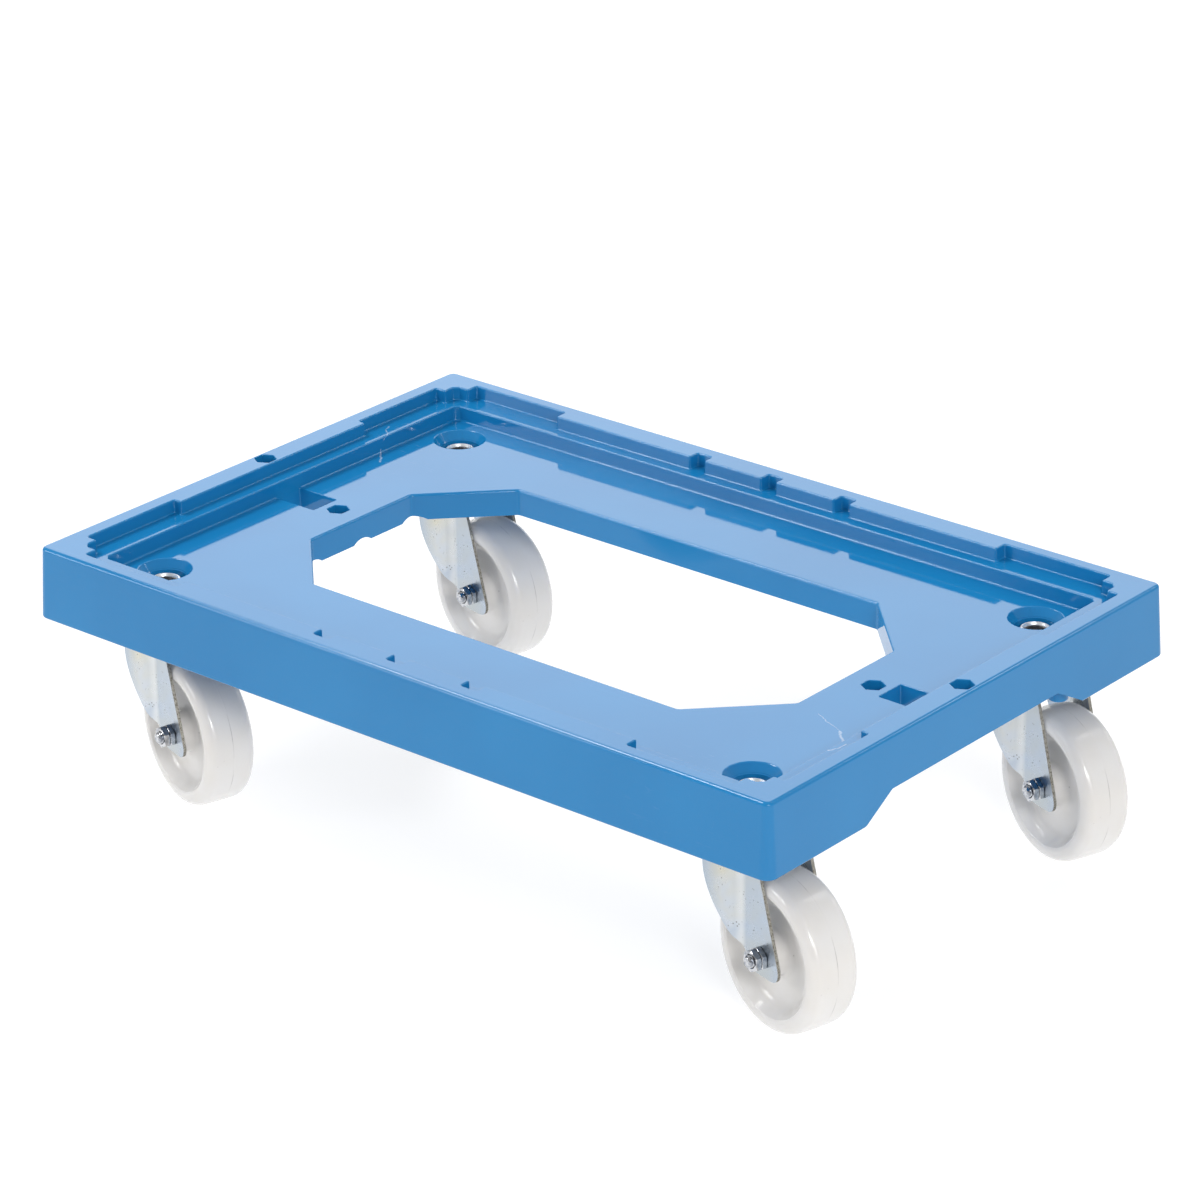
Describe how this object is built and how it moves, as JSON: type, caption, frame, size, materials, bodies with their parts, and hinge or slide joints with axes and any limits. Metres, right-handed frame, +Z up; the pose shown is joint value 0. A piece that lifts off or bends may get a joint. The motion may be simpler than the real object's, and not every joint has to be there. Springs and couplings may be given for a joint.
{
  "type": "platform trolley",
  "caption": "Low plastic crate dolly: a stepped rectangular deck with an open middle, carried on swivel castors.",
  "frame": {"origin": "on the ground, below the middle of the whole trolley as it stands", "axes": "+X along the deck's long side, the way the castors trail; +Y to the back; +Z up"},
  "size_m": [0.635, 0.41, 0.1705],
  "materials": {
    "deck_plastic": "blue moulded plastic, clean gloss with fine scuffs",
    "wheel_plastic": "pale moulded plastic, soft sheen",
    "zinc_steel": "zinc-plated pressed sheet",
    "bright_steel": "bright zinc-plated fasteners",
    "dark_plastic": "dark nylon of the bushes and the lock nuts' rings"
  },
  "bodies": {
    "deck": {"deck": "deck_plastic", "front_left_fixing_bolt": "bright_steel", "front_left_fixing_washer": "bright_steel", "front_left_fixing_nut": "bright_steel", "front_left_fixing_nut_insert": "dark_plastic", "front_left_top_race": "zinc_steel", "front_left_king_pin": "zinc_steel", "back_left_fixing_bolt": "bright_steel", "back_left_fixing_washer": "bright_steel", "back_left_fixing_nut": "bright_steel", "back_left_fixing_nut_insert": "dark_plastic", "back_left_top_race": "zinc_steel", "back_left_king_pin": "zinc_steel", "back_right_fixing_bolt": "bright_steel", "back_right_fixing_washer": "bright_steel", "back_right_fixing_nut": "bright_steel", "back_right_fixing_nut_insert": "dark_plastic", "back_right_top_race": "zinc_steel", "back_right_king_pin": "zinc_steel", "front_right_fixing_bolt": "bright_steel", "front_right_fixing_washer": "bright_steel", "front_right_fixing_nut": "bright_steel", "front_right_fixing_nut_insert": "dark_plastic", "front_right_top_race": "zinc_steel", "front_right_king_pin": "zinc_steel"},
    "front_left_castor": {"front_left_ball_ring": "bright_steel", "front_left_fork": "zinc_steel", "front_left_axle_bush": "dark_plastic", "front_left_axle_bolt": "bright_steel", "front_left_axle_jam_nut": "bright_steel", "front_left_axle_nut": "bright_steel"},
    "front_left_wheel": {"front_left_wheel": "wheel_plastic"},
    "back_left_castor": {"back_left_ball_ring": "bright_steel", "back_left_fork": "zinc_steel", "back_left_axle_bush": "dark_plastic", "back_left_axle_bolt": "bright_steel", "back_left_axle_jam_nut": "bright_steel", "back_left_axle_nut": "bright_steel"},
    "back_left_wheel": {"back_left_wheel": "wheel_plastic"},
    "back_right_castor": {"back_right_ball_ring": "bright_steel", "back_right_fork": "zinc_steel", "back_right_axle_bush": "dark_plastic", "back_right_axle_bolt": "bright_steel", "back_right_axle_jam_nut": "bright_steel", "back_right_axle_nut": "bright_steel"},
    "back_right_wheel": {"back_right_wheel": "wheel_plastic"},
    "front_right_castor": {"front_right_ball_ring": "bright_steel", "front_right_fork": "zinc_steel", "front_right_axle_bush": "dark_plastic", "front_right_axle_bolt": "bright_steel", "front_right_axle_jam_nut": "bright_steel", "front_right_axle_nut": "bright_steel"},
    "front_right_wheel": {"front_right_wheel": "wheel_plastic"}
  },
  "joints": [
    {"name": "front_left_swivel", "type": "hinge", "parent": "deck", "child": "front_left_castor", "pos_m": [-0.2577, -0.145, 0.12], "axis": [0, 0, 1], "continuous": true},
    {"name": "front_left_wheel_spin", "type": "hinge", "parent": "front_left_castor", "child": "front_left_wheel", "pos_m": [-0.22337, -0.15582, 0.05], "axis": [0.3007, 0.9537, 0], "continuous": true},
    {"name": "back_left_swivel", "type": "hinge", "parent": "deck", "child": "back_left_castor", "pos_m": [-0.2577, 0.145, 0.12], "axis": [0, 0, 1], "continuous": true},
    {"name": "back_left_wheel_spin", "type": "hinge", "parent": "back_left_castor", "child": "back_left_wheel", "pos_m": [-0.22243, 0.13776, 0.05], "axis": [0.2011, 0.9796, 0], "continuous": true},
    {"name": "back_right_swivel", "type": "hinge", "parent": "deck", "child": "back_right_castor", "pos_m": [0.2327, 0.145, 0.12], "axis": [0, 0, 1], "continuous": true},
    {"name": "back_right_wheel_spin", "type": "hinge", "parent": "back_right_castor", "child": "back_right_wheel", "pos_m": [0.26655, 0.13275, 0.05], "axis": [0.3404, 0.9403, 0], "continuous": true},
    {"name": "front_right_swivel", "type": "hinge", "parent": "deck", "child": "front_right_castor", "pos_m": [0.2327, -0.145, 0.12], "axis": [0, 0, 1], "continuous": true},
    {"name": "front_right_wheel_spin", "type": "hinge", "parent": "front_right_castor", "child": "front_right_wheel", "pos_m": [0.26736, -0.15474, 0.05], "axis": [0.2706, 0.9627, 0], "continuous": true}
  ]
}
